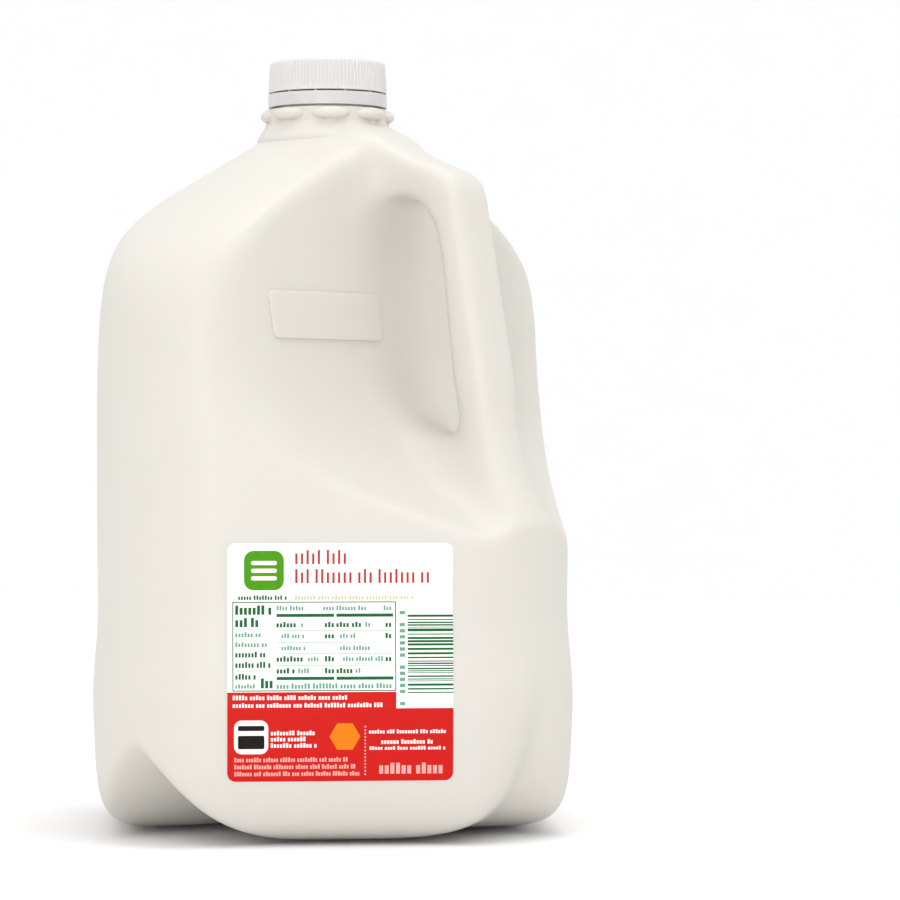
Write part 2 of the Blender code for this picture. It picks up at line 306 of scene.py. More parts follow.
def turned(shape: bmesh.types.BMesh, profile: Iterable[tuple[float, float]],
           steps: int) -> None:
    """Turn a profile of (radius, height) round the Z axis and close both ends."""
    turns = [2.0 * math.pi * step / steps for step in range(steps)]
    skin(shape, [[(radius * math.cos(turn), radius * math.sin(turn), height) for turn in turns]
                 for radius, height in profile])


def cut_into_cells(shape: bmesh.types.BMesh, cell: float) -> None:
    """Cut a flat shape along a grid in x and y, so that it can follow a curved face."""
    for axis, normal in ((0, (1.0, 0.0, 0.0)), (1, (0.0, 1.0, 0.0))):
        ends = [vertex.co[axis] for vertex in shape.verts]
        for line in range(math.ceil(min(ends) / cell), math.floor(max(ends) / cell) + 1):
            everything = shape.verts[:] + shape.edges[:] + shape.faces[:]
            bmesh.ops.bisect_plane(shape, geom=everything, dist=CUT_WELD, plane_no=normal,
                                   plane_co=[component * line * cell for component in normal])


def rounded_box(left: float, bottom: float, width: float, height: float,
                corners: Sequence[float]) -> list[tuple[float, float]]:
    """Outline of a rectangle with its own radius at each corner.

    Args:
        left: Its least x.
        bottom: Its least y.
        width: Its size along x.
        height: Its size along y.
        corners: Radii from the upper right corner, counter-clockwise.

    Returns:
        The corner points, counter-clockwise.
    """
    right, top = left + width, bottom + height
    middles = ((right - corners[0], top - corners[0]), (left + corners[1], top - corners[1]),
               (left + corners[2], bottom + corners[2]), (right - corners[3], bottom + corners[3]))
    points = []
    for index, (middle, radius) in enumerate(zip(middles, corners)):
        points += rounded(middle, radius, 90.0 * index, 90.0 * (index + 1),
                          CORNER_STEPS if radius else 0)
    return points


@dataclass(frozen=True)
class Facing:
    """How flat geometry is laid on a solid: seen from out, with its middle at side and up."""

    out: Vector
    across: Vector
    start: float
    side: float
    up: float
    gap: float = 0.0

    def lay(self, tree: bpy.types.NodeTree, target: bpy.types.NodeSocket,
            geometry: bpy.types.NodeSocket) -> bpy.types.NodeSocket:
        """Add nodes that lay flat geometry, x across, y up and z outwards, on a solid.

        Args:
            tree: Tree that gets the nodes.
            target: Socket of the solid's object.
            geometry: Socket of the flat geometry.

        Returns:
            The socket of the laid geometry.
        """
        x, y, z = position_fields(tree)
        solid = add_node(tree, "GeometryNodeObjectInfo", {"Object": target})
        beside = x + self.side
        spot = add_node(tree, "ShaderNodeCombineXYZ",
                        {0: beside * self.across.x + self.start * self.out.x,
                         1: beside * self.across.y + self.start * self.out.y, 2: y + self.up})
        ray = add_node(tree, "GeometryNodeRaycast",
                       {"Target Geometry": solid.outputs["Geometry"],
                        "Source Position": spot.outputs[0], "Ray Direction": -self.out,
                        "Ray Length": self.start})
        lifted = add_node(tree, "ShaderNodeVectorMath", {0: self.out, "Scale": z + self.gap},
                          operation="SCALE")
        laid = add_node(tree, "ShaderNodeVectorMath",
                        {0: ray.outputs["Hit Position"], 1: lifted.outputs[0]}, operation="ADD")
        moved = add_node(tree, "GeometryNodeSetPosition",
                         {"Geometry": geometry, "Position": laid.outputs[0]})
        return moved.outputs[0]


def along(start: tuple[float, float], end: tuple[float, float],
          count: int) -> list[tuple[float, float]]:
    """Points of a straight stretch of profile, without its end."""
    shares = (index / count for index in range(count))
    return [tuple(a + (b - a) * share for a, b in zip(start, end)) for share in shares]


def rounded(centre: tuple[float, float], radius: float, start: float, end: float,
            count: int) -> list[tuple[float, float]]:
    """Points of an arc of profile, from one angle to another, in degrees."""
    angles = (math.radians(start + (end - start) * index / max(count, 1))
              for index in range(count + 1))
    return [(centre[0] + radius * math.cos(angle), centre[1] + radius * math.sin(angle))
            for angle in angles]


# Finishes


def linear(code: str) -> tuple[float, float, float, float]:
    """Turn an sRGB hex colour into linear red, green, blue and alpha."""
    parts = [int(code[start:start + 2], 16) / 255.0 for start in (1, 3, 5)]
    levels = [part / 12.92 if part <= 0.04045 else ((part + 0.055) / 1.055) ** 2.4
              for part in parts]
    return (*levels, 1.0)


# How far red, green and blue go into plastic, as shares of its depth
DEPTH_SPREAD = (1.0, 0.88, 0.70)
# Patches of gloss are finer than patches of colour
GLOSS_PATCH = 0.37
COARSE_DETAIL = 3.0
FINE_DETAIL = 2.0
# Streaks and seam of a blown bottle, their heights as multiples of the grain's
STREAK_MM = 5.0
STREAK_STRETCH = 0.06
STREAK_SHARE = 3.0
SEAM_MM = 0.5
SEAM_SHARE = 5.0
PAPER_SHARP = 30.0


class Making(Enum):
    """How a surface was made, which decides its fine relief."""

    BLOWN = "blow moulded"
    MOULDED = "injection moulded"
    COATED = "coated paper"
    PRINTED = "flexographic print"


@dataclass(frozen=True)
class Finish:
    """One real material and how its surface looks."""

    name: str
    making: Making
    tone: str
    shade: str
    patch_mm: float
    roughness: float
    roughness_spread: float
    grain_mm: float
    grain_depth_mm: float
    ior: float = 1.50
    specular: float = 0.5
    depth_weight: float = 0.0
    depth_mm: float = 0.0

    def build(self) -> bpy.types.Material:
        """Build the material's nodes and return it."""
        material = bpy.data.materials.new(self.name)
        material.use_nodes = True
        tree = material.node_tree
        shader = tree.nodes["Principled BSDF"]
        shader.inputs["IOR"].default_value = self.ior
        shader.inputs["Metallic"].default_value = 0.0
        shader.inputs["Specular IOR Level"].default_value = self.specular
        if self.depth_weight:
            shader.inputs["Subsurface Weight"].default_value = self.depth_weight
            shader.inputs["Subsurface Scale"].default_value = self.depth_mm * MM
            shader.inputs["Subsurface Radius"].default_value = DEPTH_SPREAD
        place = add_node(tree, "ShaderNodeTexCoord").outputs["Object"]
        cloud = self.noise(tree, place, self.patch_mm, COARSE_DETAIL)
        colour = add_node(tree, "ShaderNodeMix",
                          {"Factor": cloud, 6: linear(self.tone), 7: linear(self.shade)},
                          data_type="RGBA")
        tree.links.new(colour.outputs[2], shader.inputs["Base Color"])
        gloss = add_node(tree, "ShaderNodeMapRange",
                         {"Value": self.noise(tree, place, self.patch_mm * GLOSS_PATCH),
                          "To Min": self.roughness - self.roughness_spread,
                          "To Max": self.roughness + self.roughness_spread})
        tree.links.new(gloss.outputs["Result"], shader.inputs["Roughness"])
        relief = self.relief(tree, place)
        bump = add_node(tree, "ShaderNodeBump",
                        {"Height": relief, "Distance": self.grain_depth_mm * MM, "Strength": 1.0})
        tree.links.new(bump.outputs["Normal"], shader.inputs["Normal"])
        return material

    def noise(self, tree: bpy.types.NodeTree, place: bpy.types.NodeSocket, size_mm: float,
              detail: float = FINE_DETAIL) -> Field:
        """Smooth noise whose patches have the given size."""
        node = add_node(tree, "ShaderNodeTexNoise",
                        {"Vector": place, "Scale": 1.0 / (size_mm * MM), "Detail": detail})
        return Field(tree, node.outputs["Fac"])

    def relief(self, tree: bpy.types.NodeTree, place: bpy.types.NodeSocket) -> Field:
        """Height of the fine relief: grain, and on blown plastic flow lines and the seam."""
        grain = self.noise(tree, place, self.grain_mm)
        if self.making is not Making.BLOWN:
            return grain
        # The parison is drawn downwards, so faint streaks run up the wall
        drawn = add_node(tree, "ShaderNodeMapping",
                         {"Vector": place, "Scale": (1.0, 1.0, STREAK_STRETCH)})
        streaks = self.noise(tree, drawn.outputs[0], STREAK_MM)
        parts = add_node(tree, "ShaderNodeSeparateXYZ", {0: place})
        offset = abs(Field(tree, parts.outputs["Y"]))
        seam = -offset.step(SEAM_MM * MM * 0.25, SEAM_MM * MM) + 1.0
        return grain + streaks * STREAK_SHARE + seam * SEAM_SHARE


# High-density polyethylene, blow moulded, full of milk: creamy, satin, light goes in a little
BOTTLE_PLASTIC = Finish("blown_hdpe_over_milk", Making.BLOWN, "#D2CFC8", "#CECBC3", 38.0,
                        0.46, 0.05, 0.9, 0.006, 1.50, 0.40, 0.20, 6.0)
# Low-density polyethylene, injection moulded: neutral white with a fine eroded grain
CAP_PLASTIC = Finish("moulded_ldpe_cap", Making.MOULDED, "#D2D1D0", "#CFCECD", 9.0,
                     0.42, 0.05, 0.35, 0.003, 1.51, 0.40, 0.15, 1.5)
BAND_PLASTIC = Finish("moulded_ldpe_band", Making.MOULDED, "#CAC9C7", "#C6C5C3", 7.0,
                      0.36, 0.05, 0.35, 0.003, 1.51, 0.40, 0.15, 1.5)
# Coated label paper: bright, smooth, with the paper's faint cloudiness
LABEL_PAPER = Finish("coated_label_paper", Making.COATED, "#FBFBFA", "#F7F7F5", 2.2,
                     0.38, 0.05, 0.25, 0.004, 1.50, 0.30)
# Inks: thin matt films whose cover varies a little, as flexographic plates print them
INK = dict(making=Making.PRINTED, patch_mm=1.4, roughness=0.34, roughness_spread=0.05,
           grain_mm=0.3, grain_depth_mm=0.002, specular=0.12)
INK_RED = Finish(name="ink_red", tone="#C81812", shade="#C2140F", **INK)
INK_ROSE = Finish(name="ink_rose", tone="#B93436", shade="#B02C2F", **INK)
INK_GREEN = Finish(name="ink_green", tone="#12652F", shade="#0F5D2A", **INK)
INK_SAGE = Finish(name="ink_sage", tone="#6FA487", shade="#65997C", **INK)
INK_LEAF = Finish(name="ink_leaf", tone="#4B9508", shade="#448C06", **INK)
INK_OLIVE = Finish(name="ink_olive", tone="#C3C79C", shade="#BBC093", **INK)
INK_WHITE = Finish(name="ink_white", tone="#FCEFEC", shade="#F8E6E2", **INK)
INK_BLUSH = Finish(name="ink_blush", tone="#F3A9A1", shade="#F0A098", **INK)
INK_ORANGE = Finish(name="ink_orange", tone="#E8800A", shade="#E07606", **INK)
INK_BLACK = Finish(name="ink_black", tone="#141110", shade="#100D0C", **INK)


# Bottle


@dataclass
class Panel:
    """Blank panel raised from the hollow's floor, sizes in metres."""

    length: float = 0.0500
    height: float = 0.0152
    corner: float = 0.0022
    slant: float = -0.12
    raised: float = 0.0008
    bevel: float = 0.0004
    bevel_bow: float = 0.3
    rooted: float = 0.0020
    cell: float = 0.0020
    facing: Facing = Facing(Vector((1.0, 0.0, 0.0)), Vector((0.0, 1.0, 0.0)), 0.0450,
                            -0.0340, 0.1665)

    def flat(self, shape: bmesh.types.BMesh) -> None:
        """Fill a bmesh with the flat panel, bevelled in front and rooted behind."""
        rings = []
        for inset, level in ((0.0, -self.rooted), (0.0, self.raised - self.bevel),
                             (self.bevel * self.bevel_bow,
                              self.raised - self.bevel * self.bevel_bow),
                             (self.bevel, self.raised)):
            outline = rounded_box(inset - self.length / 2.0, inset - self.height / 2.0,
                                  self.length - 2.0 * inset, self.height - 2.0 * inset,
                                  (self.corner - inset,) * 4)
            rings.append([(x + self.slant * y, y, level) for x, y in outline])
        skin(shape, rings)
        cut_into_cells(shape, self.cell)

    def mesh(self, body: bpy.types.Object) -> bpy.types.Mesh:
        """Lay the panel on the body with Geometry Nodes and return its mesh."""
        tree, source, _ = new_tree("raised_panel", self, (("Body", "NodeSocketObject"),))
        laid = self.facing.lay(tree, source.outputs["Body"], source.outputs["Geometry"])
        end_tree(tree, source, laid)
        return run_tree(tree, mesh_from("panel", self.flat), self, body=body)


@dataclass
class Bottle:
    """The blown bottle: body, hollow handle, neck and lugs.

    Sizes are in metres and angles in radians. Slopes, leans, rises and flanks are ratios,
    and rates, bows and flares are per metre.
    """

    half_width: float = 0.0760
    corner_radius: float = 0.0404
    lean_start: float = 0.1359
    lean_rate: float = 0.93
    bulge: float = 0.0024
    bulge_low: float = 0.0384
    bulge_high: float = 0.0788
    heel_start: float = 0.0295
    heel_taper: float = 0.09
    heel_blend: float = 0.0290
    heel_knee: float = 0.0100
    base_height: float = 0.0001
    base_dome: float = 0.0016
    base_dome_radius: float = 0.0480
    shoulder_apex: float = 0.2390
    shoulder_slope: float = 0.605
    shoulder_blend: float = 0.0250
    body_top: float = 0.2275
    valley_floor: float = 0.0455
    valley_rise: float = 1.50
    valley_flank: float = 1.40
    valley_round: float = 0.0040
    valley_blend: float = 0.0065
    handle_valley_floor: float = 0.0775
    handle_valley_rise: float = 0.33
    handle_valley_flank: float = 0.55
    floor_x: float = 0.0315
    floor_level: float = 0.1601
    floor_lean: float = -0.06
    floor_bow: float = 0.50
    side_turn: float = math.radians(25.5)
    side_reach: float = 0.0576
    side_blend: float = 0.0080
    ramp_height: float = 0.1505
    ramp_along_x: float = 0.606
    ramp_along_y: float = 0.118
    ramp_ridge: float = 0.0118
    hollow_blend: float = 0.038
    crest_blend: float = 0.0065
    handle_half: float = 0.0100
    handle_edge: float = 0.0087
    lip_edge: float = 0.0150
    lip_low: float = 0.1280
    lip_high: float = 0.1500
    handle_top: float = 0.2350
    handle_top_slope: float = 0.375
    handle_level: float = 0.1330
    handle_outer: float = 0.0771
    handle_lean: float = 0.192
    handle_flare: float = 6.1
    handle_bend: float = 0.0080
    handle_blend: float = 0.0200
    gap_top: float = 0.2066
    gap_bottom: float = 0.1255
    gap_bottom_slope: float = -0.35
    gap_inner: float = 0.0577
    gap_inner_lean: float = 0.122
    gap_level: float = 0.1620
    gap_top_blend: float = 0.0340
    gap_bottom_blend: float = 0.0260
    inset: float = 0.0003
    reach: float = 0.010
    cell: float = 0.0015
    neck_radius: float = 0.0197
    neck_flare_radius: float = 0.0233
    neck_flare_low: float = 0.2260
    neck_flare_high: float = 0.2317
    neck_root: float = 0.2235
    neck_ledge: float = 0.2358
    core_radius: float = 0.0170
    core_top: float = 0.2408
    lug_count: float = 8.0
    lug_length: float = 0.0122
    lug_height: float = 0.0044
    lug_reach: float = 0.0024
    lug_level: float = 0.2338
    lug_fullness: float = 0.6
    lug_root: float = 0.001
    neck_edge: float = 0.0002
    neck_steps: int = 256
    flare_rows: int = 5
    wall_rows: int = 26
    sharp: float = 38.0

    def walls(self, s: SimpleNamespace, x: Field, y: Field, z: Field) -> Field:
        """Rounded square prism, leaning in above and bulging below."""
        half = s.half_width - z.above(s.lean_start).squared() * s.lean_rate
        half = half + (-z.step(s.bulge_low, s.bulge_high) + 1.0) * s.bulge
        across = abs(x + y) * DIAGONAL - half + s.corner_radius
        beside = abs(x - y) * DIAGONAL - half + s.corner_radius
        outside = hypotenuse(across.math("MAXIMUM", 0.0), beside.math("MAXIMUM", 0.0))
        wall = across.math("MAXIMUM", beside).math("MINIMUM", 0.0) + outside - s.corner_radius
        return wall.keep(wall + (s.heel_start - z) * s.heel_taper, s.heel_knee)

    def shoulder(self, s: SimpleNamespace, x: Field, y: Field, z: Field) -> Field:
        """Cone under the neck, cut off flat inside it."""
        steepness = hypotenuse(s.shoulder_slope, 1.0)
        cone = (z - s.shoulder_apex + hypotenuse(x, y) * s.shoulder_slope) / steepness
        return cone.math("MAXIMUM", z - s.body_top)

    def valleys(self, s: SimpleNamespace, x: Field, y: Field, z: Field) -> Field:
        """Space outside the valley up each lower corner, wider and shallower by the handle."""
        width, depth = abs(x), abs(y)
        outward = width.math("MAXIMUM", depth)
        sideways = hypotenuse(width.math("MINIMUM", depth), s.valley_round) - s.valley_round
        by_handle = x.step(s.valley_floor * 0.5, s.valley_floor)
        start = by_handle * (s.handle_valley_floor - s.valley_floor) + s.valley_floor
        rise = by_handle * (s.handle_valley_rise - s.valley_rise) + s.valley_rise
        flank = by_handle * (s.handle_valley_flank - s.valley_flank) + s.valley_flank
        steepness = hypotenuse(hypotenuse(s.valley_rise, s.valley_flank), 1.0)
        return (outward - start - z * rise - sideways * flank) / steepness

    def hollow(self, s: SimpleNamespace, x: Field, y: Field, z: Field) -> Field:
        """Space outside the hollow beside the handle: floor, slanted sides and ramp."""
        floor = x - s.floor_x + y.squared() * s.floor_bow - (z - s.floor_level) * s.floor_lean
        side = x * s.side_turn.math("COSINE") + abs(y) * s.side_turn.math("SINE") - s.side_reach
        floor = floor.keep(side, s.side_blend)
        steepness = hypotenuse(hypotenuse(s.ramp_along_x, s.ramp_along_y), 1.0)
        ridge = hypotenuse(y, s.ramp_ridge)
        ramp = z - s.ramp_height + x * s.ramp_along_x + ridge * s.ramp_along_y
        return floor.join(ramp / steepness, s.hollow_blend)

    def handle(self, s: SimpleNamespace, x: Field, y: Field, z: Field) -> Field:
        """Fin in the XZ plane, with the finger gap cut through it."""
        steepness = hypotenuse(s.handle_top_slope, 1.0)
        top = (z - s.handle_top + x * s.handle_top_slope) / steepness
        flare = (s.handle_level - z).above(0.0).squared() * s.handle_flare
        outer = x - s.handle_outer + (z - s.handle_level) * s.handle_lean - flare
        profile = top.keep(outer, s.handle_bend).math("MAXIMUM", -x)
        profile = profile.math("MAXIMUM", z - s.body_top)
        side = x - s.gap_inner + (z - s.gap_level) * s.gap_inner_lean
        gap = side.keep(z - s.gap_top, s.gap_top_blend)
        bottom = s.gap_bottom - z + (x - s.gap_inner) * s.gap_bottom_slope
        gap = gap.keep(bottom / hypotenuse(s.gap_bottom_slope, 1.0), s.gap_bottom_blend)
        edge = (-z.step(s.lip_low, s.lip_high) + 1.0) * (s.lip_edge - s.handle_edge) + s.handle_edge
        return profile.keep(-gap, edge).keep(abs(y) - s.handle_half, edge)

    def form(self, tree: bpy.types.NodeTree, s: SimpleNamespace) -> Field:
        """Whole body: negative inside the outer surface, zero on it."""
        x, y, z = position_fields(tree)
        walls = self.walls(s, x, y, z).keep(self.valleys(s, x, y, z), s.valley_blend)
        body = walls.keep(self.shoulder(s, x, y, z), s.shoulder_blend)
        body = body.keep(self.hollow(s, x, y, z), s.crest_blend)
        handle = self.handle(s, x, y, z).keep(walls, s.handle_bend)
        body = body.join(handle, s.handle_blend).math("MAXIMUM", walls)
        out = hypotenuse(x, y) / s.base_dome_radius
        dome = (-out.squared() + 1.0).above(0.0) * s.base_dome
        return body.keep(-z + s.base_height + dome, s.heel_blend) + s.inset

    def body_mesh(self) -> bpy.types.Mesh:
        """Mesh the body where its field is zero, with Geometry Nodes."""
        tree, source, s = new_tree("bottle_body", self)
        density = (-self.form(tree, s) / s.reach + 1.0).math("MAXIMUM", 0.0)
        density = density.math("MINIMUM", 2.0)
        wide = self.half_width * math.sqrt(2.0)
        low = (-wide, -wide, -self.reach)
        high = (wide, wide, self.shoulder_apex)
        counts = {f"Resolution {axis}": round((end - start) / self.cell)
                  for axis, start, end in zip("XYZ", low, high)}
        volume = add_node(tree, "GeometryNodeVolumeCube",
                          {"Density": density, "Min": low, "Max": high, **counts})
        surface = add_node(tree, "GeometryNodeVolumeToMesh",
                           {"Volume": volume.outputs["Volume"], "Threshold": 1.0})
        end_tree(tree, source, surface.outputs["Mesh"])
        return run_tree(tree, bpy.data.meshes.new("empty"), self)

    def neck_profile(self) -> list[tuple[float, float]]:
        """Profile of the neck: root inside the shoulder, flare, wall, ledge and core."""
        flare_low = (self.neck_flare_radius, self.neck_flare_low)
        flare_high = (self.neck_radius, self.neck_flare_high)
        ledge = (self.neck_radius, self.neck_ledge)
        top = self.neck_ledge + self.neck_edge / 2.0
        return [
            (self.neck_flare_radius, self.neck_root),
            *along(flare_low, flare_high, self.flare_rows),
            *along(flare_high, ledge, self.wall_rows),
            (self.neck_radius - self.neck_edge, top), (self.core_radius, top),
            (self.core_radius, self.core_top),
        ]

    def neck_mesh(self) -> bpy.types.Mesh:
        """Turn the neck and raise its lugs from it with Geometry Nodes."""
        tree, source, s = new_tree("neck_lugs", self)
        x, y, z = position_fields(tree)
        radius = hypotenuse(x, y)
        sector = s.lug_count.math("POWER", -1.0) * (2.0 * math.pi)
        turn = y.math("ARCTAN2", x) + sector * 0.5
        arc = (turn.math("FLOORED_MODULO", sector) - sector * 0.5) * radius
        across = arc / (s.lug_length * 0.5)
        up = (z - s.lug_level) / (s.lug_height * 0.5)
        cover = (-hypotenuse(across, up).squared() + 1.0).above(0.0)
        cover = cover.math("POWER", s.lug_fullness)
        on_wall = radius.step(s.core_radius + s.lug_root, s.core_radius + s.lug_root * 2.0)
        growth = cover * on_wall * s.lug_reach / radius + 1.0
        end_tree(tree, source, widened(tree, source, x, y, z, growth))
        base = mesh_from("neck", lambda shape: turned(shape, self.neck_profile(), self.neck_steps))
        return run_tree(tree, base, self)

    def build(self) -> bpy.types.Object:
        """Join the neck and the panel to the body and dress the bottle."""
        bottle = new_object("bottle_union", self.body_mesh())
        meshes = (self.neck_mesh(), Panel().mesh(bottle))
        parts = [new_object(mesh.name, mesh) for mesh in meshes]
        for part in parts:
            union = bottle.modifiers.new(part.name, "BOOLEAN")
            union.operation = "UNION"
            union.solver = "EXACT"
            union.object = part
        graph = bpy.context.evaluated_depsgraph_get()
        mesh = bpy.data.meshes.new_from_object(bottle.evaluated_get(graph), depsgraph=graph)
        for item in (bottle, *parts):
            bpy.data.objects.remove(item)
        return add_piece("bottle_blown", mesh, BOTTLE_PLASTIC.build(), "bottle",
                         self.sharp)


# Closure


@dataclass
class Closure:
    """Ribbed screw cap and the tamper band under it, sizes in metres."""

    cap_bottom: float = 0.2414
    cap_top: float = 0.2517
    cap_radius: float = 0.0196
    cap_top_radius: float = 0.0191
    cap_round: float = 0.0013
    skirt_height: float = 0.0007
    dish_radius: float = 0.0150
    dish_depth: float = 0.0004
    rib_count: float = 96.0
    rib_depth: float = 0.00025
    rib_fade: float = 0.0006
    groove_low: float = 0.30
    groove_high: float = 0.85
    foot_radius: float = 0.0050
    foot_round: float = 0.0010
    dish_edge: float = 0.0006
    dish_round: float = 0.0010
    pip_radius: float = 0.0022
    pip_round: float = 0.0004
    pip_middle: float = 0.0006
    pip_level: float = 0.4
    band_bottom: float = 0.2366
    band_top: float = 0.2410
    band_radius: float = 0.0196
    band_inner: float = 0.0173
    band_round: float = 0.0003
    bridge_count: float = 12.0
    bridge_width: float = 0.0009
    steps: int = 768
    side_rows: int = 16
    edge_rows: int = 8
    band_steps: int = 256

    def cap_profile(self) -> list[tuple[float, float]]:
        """Profile of the cap from the middle of its foot to the middle of its top."""
        corner = (self.cap_top_radius - self.cap_round, self.cap_top - self.cap_round)
        skirt = (self.cap_radius, self.cap_bottom + self.skirt_height)
        dish = self.cap_top - self.dish_depth
        pip = self.cap_top - self.dish_depth * self.pip_level
        return [
            (self.foot_radius, self.cap_bottom),
            (self.cap_radius - self.foot_round, self.cap_bottom),
            (self.cap_radius - self.foot_round * 0.2, self.cap_bottom + self.foot_round * 0.1),
            (self.cap_radius, self.cap_bottom + self.foot_round * 0.3),
            *along(skirt, (self.cap_top_radius, corner[1]), self.side_rows),
            *rounded(corner, self.cap_round, 0.0, 90.0, self.edge_rows),
            (self.dish_radius + self.dish_edge, self.cap_top), (self.dish_radius, dish),
            (self.dish_radius - self.dish_round, dish), (self.pip_radius, dish),
            (self.pip_radius - self.pip_round, pip), (self.pip_middle, pip),
        ]

    def cap(self) -> bpy.types.Object:
        """Turn the cap and press its ribs into the side with Geometry Nodes."""
        tree, source, s = new_tree("cap_ribs", self)
        x, y, z = position_fields(tree)
        radius = hypotenuse(x, y)
        wave = (y.math("ARCTAN2", x) * s.rib_count).math("COSINE")
        groove = (wave * 0.5 + 0.5).step(s.groove_low, s.groove_high)
        foot = s.cap_bottom + s.skirt_height
        low = z.step(foot, foot + s.rib_fade)
        high = -z.step(s.cap_top - s.rib_fade, s.cap_top) + 1.0
        outer = radius.step(s.cap_top_radius - s.cap_round, s.cap_top_radius - s.rib_depth)
        cut = groove * low * high * outer * s.rib_depth
        end_tree(tree, source, widened(tree, source, x, y, z, -cut / radius + 1.0))
        base = mesh_from("cap", lambda shape: turned(shape, self.cap_profile(), self.steps))
        mesh = run_tree(tree, base, self)
        return add_piece("cap_ribbed", mesh, CAP_PLASTIC.build(), "cap", 35.0)

    def band_ring(self, shape: bmesh.types.BMesh) -> None:
        """Turn the band's closed section right round the neck."""
        inner, outer, small = self.band_inner, self.band_radius, self.band_round
        section = [
            (inner, self.band_bottom + small), (inner + small, self.band_bottom),
            *rounded((outer - small, self.band_bottom + small), small, -90.0, 0.0, 4),
            *rounded((outer - small, self.band_top - small), small, 0.0, 90.0, 4),
            (inner + small, self.band_top), (inner, self.band_top - small),
        ]
        points = [shape.verts.new((radius, 0.0, height)) for radius, height in section]
        edges = [shape.edges.new(pair) for pair in zip(points, points[1:] + points[:1])]
        bmesh.ops.spin(shape, geom=points + edges, cent=(0.0, 0.0, 0.0), axis=(0.0, 0.0, 1.0),
                       angle=2.0 * math.pi, steps=self.band_steps, use_merge=True)

    def band(self) -> bpy.types.Object:
        """Make the band, and set its break-away bridges round it with Geometry Nodes."""
        tree, source, s = new_tree("band_bridges", self)
        gap = self.cap_bottom - self.band_top
        ring = add_node(tree, "GeometryNodeMeshCircle",
                        {"Vertices": int(self.bridge_count),
                         "Radius": s.band_radius - s.bridge_width * 1.5})
        centre = (0.0, 0.0, self.band_top + gap / 2.0)
        lifted = add_node(tree, "GeometryNodeSetPosition",
                          {"Geometry": ring.outputs[0], "Offset": centre})
        bridge = add_node(tree, "GeometryNodeMeshCube",
                          {"Size": (self.bridge_width, self.bridge_width, gap * 1.5)})
        x, y, _ = position_fields(tree)
        turn = add_node(tree, "ShaderNodeCombineXYZ", {2: y.math("ARCTAN2", x)})
        bridges = add_node(tree, "GeometryNodeInstanceOnPoints",
                           {"Points": lifted.outputs[0], "Instance": bridge.outputs[0],
                            "Rotation": turn.outputs[0]})
        whole = add_node(tree, "GeometryNodeJoinGeometry")
        for part in (bridges.outputs[0], source.outputs["Geometry"]):
            tree.links.new(part, whole.inputs[0])
        end_tree(tree, source, whole.outputs[0])
        mesh = run_tree(tree, mesh_from("band", self.band_ring), self)
        return add_piece("band_ring", mesh, BAND_PLASTIC.build(), "tamper_band",
                         50.0)


# Label


# Print rows in millimetres from the label's upper left corner: left, right, middle, height,
# pitch and, where it isn't WORD_SHARE, the share of the pitch that a block covers
TITLE_ROWS = ((21.1, 38.4, 4.4, 4.4, 1.75, 0.42), (21.1, 64.5, 10.4, 4.4, 1.75, 0.42))
OLIVE_ROWS = ((21.0, 58.8, 17.1, 1.4, 0.95),)
TABLE_ROWS = (
    (3.4, 19.1, 17.1, 1.4, 0.86), (2.5, 14.4, 21.0, 2.9, 1.35), (2.5, 10.2, 24.9, 2.9, 1.35),
    (2.5, 11.9, 34.9, 1.8, 1.0), (2.5, 13.6, 38.1, 1.9, 1.0), (2.5, 9.4, 41.8, 1.8, 1.0),
    (10.4, 14.2, 43.9, 3.1, 1.35),
    *((left, right, middle, 1.7, 1.05) for left, right, middle in (
        (15.3, 22.2, 25.6), (33.9, 42.2, 25.6), (15.3, 24.3, 36.3), (33.9, 33.9, 36.3),
        (15.3, 21.0, 40.0), (33.9, 39.3, 40.0), (30.3, 33.2, 25.6), (30.3, 33.2, 29.1),
        (30.3, 33.2, 36.3), (30.3, 33.2, 40.0), (49.2, 51.6, 25.6), (49.2, 51.6, 29.1),
        (49.2, 51.6, 36.3))),
)
FAINT_ROWS = (
    (2.5, 11.2, 28.7, 1.6, 0.95), (2.5, 12.4, 31.8, 1.6, 0.95), (2.5, 9.0, 44.8, 1.4, 0.9),
    *((left, right, middle, 1.5, 0.9) for left, right, middle in (
        (15.3, 24.8, 20.4), (29.8, 33.2, 20.4), (33.9, 43.4, 20.4), (48.6, 51.6, 20.4),
        (22.9, 24.2, 25.6), (16.8, 24.7, 29.1), (16.8, 24.7, 32.9), (25.0, 28.4, 36.3),
        (22.0, 25.8, 40.0), (42.9, 45.0, 25.6), (35.0, 40.2, 29.1), (35.0, 45.6, 32.9),
        (35.9, 48.8, 36.3), (39.8, 41.4, 40.0))),
    (15.3, 51.6, 44.8, 1.7, 1.0),
)
PALE_ROWS = (
    (1.7, 37.8, 48.4, 1.4, 0.95), (1.7, 48.6, 50.8, 1.4, 0.95), (13.5, 28.0, 59.5, 1.4, 0.95),
    (13.5, 25.6, 61.4, 1.4, 0.95), (13.5, 28.4, 63.4, 1.4, 0.95), (44.0, 68.4, 59.2, 1.2, 0.85),
    (47.8, 64.7, 62.4, 1.4, 0.95), (44.2, 68.2, 64.4, 1.1, 0.85),
)
BLUSH_ROWS = (
    (47.2, 68.5, 70.8, 3.4, 1.75), (2.2, 37.8, 67.9, 1.4, 0.8), (2.2, 40.2, 70.1, 1.4, 0.8),
    (2.2, 41.2, 72.3, 1.4, 0.8),
)
# How a row of blocks is grouped like words
WORD_SHARE = 0.70
WORD_LENGTHS = (3, 8)
WORD_GAP = 0.6
TALL_CHANCE = 0.3
SHORT_HEIGHT = 0.76
